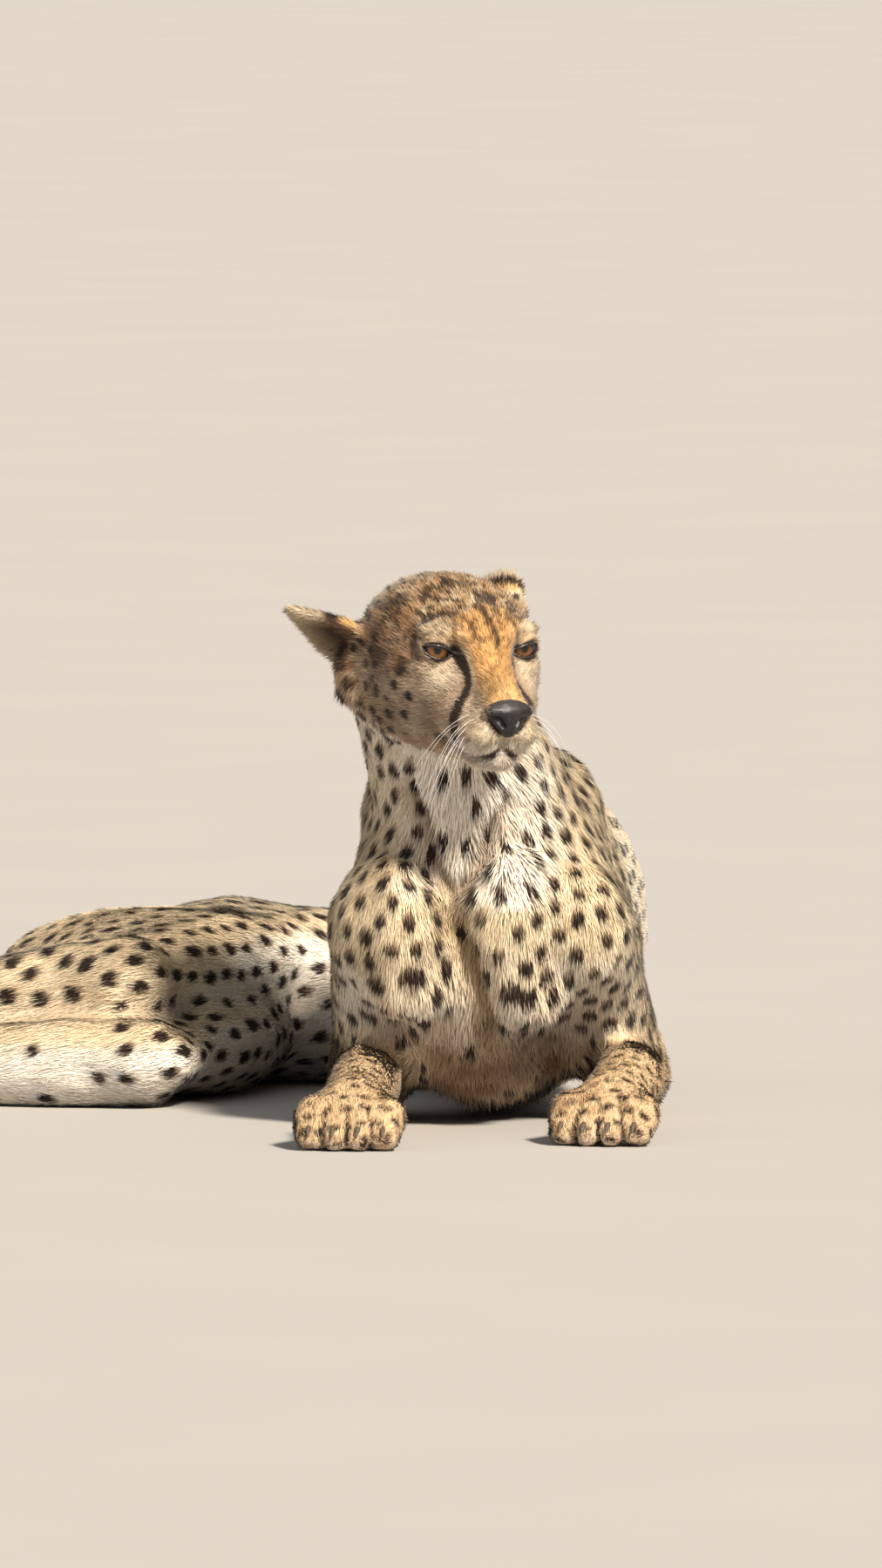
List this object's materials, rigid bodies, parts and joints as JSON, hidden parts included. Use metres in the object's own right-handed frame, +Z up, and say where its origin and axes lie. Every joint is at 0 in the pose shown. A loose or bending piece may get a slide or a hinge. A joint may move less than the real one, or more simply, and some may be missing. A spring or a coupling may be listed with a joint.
{
  "type": "resting cheetah model",
  "caption": "Life-size still model of a cheetah resting on its elbows with its head turned and its hind legs laid to one side, for display.",
  "frame": {"origin": "on the floor, under the middle of the animal's bounding box", "axes": "+Z up; the chest and forepaws point to -Y; the hips, hind legs and tail lie towards -X; +X is the animal's left"},
  "size_m": [0.9978, 0.769, 0.4037],
  "materials": {
    "fur": "short dense fur, gold above and cream below, with solid dark spots",
    "eye": "wet amber eye with a round black pupil",
    "nose": "dark, slightly moist nose leather",
    "claw": "dull brown horn"
  },
  "bodies": {
    "root": {"chest": "fur", "claw_forepaw_left_1": "claw", "claw_forepaw_left_2": "claw", "claw_forepaw_left_3": "claw", "claw_forepaw_left_4": "claw", "claw_forepaw_right_1": "claw", "claw_forepaw_right_2": "claw", "claw_forepaw_right_3": "claw", "claw_forepaw_right_4": "claw", "claw_hind_foot_left_1": "claw", "claw_hind_foot_left_2": "claw", "claw_hind_foot_left_3": "claw", "claw_hind_foot_left_4": "claw", "claw_hind_foot_right_1": "claw", "claw_hind_foot_right_2": "claw", "claw_hind_foot_right_3": "claw", "claw_hind_foot_right_4": "claw", "ear_left": "fur", "ear_right": "fur", "eye_left": "eye", "eye_right": "eye", "forearm_left": "fur", "forearm_right": "fur", "forepaw_left": "fur", "forepaw_right": "fur", "head": "fur", "hind_foot_left": "fur", "hind_foot_right": "fur", "loin": "fur", "neck": "fur", "nose": "nose", "ribs": "fur", "rump": "fur", "shank_left": "fur", "shank_right": "fur", "tail_base": "fur", "tail_middle": "fur", "tail_tip": "fur", "thigh_left": "fur", "thigh_right": "fur", "upper_arm_left": "fur", "upper_arm_right": "fur"}
  },
  "joints": []
}
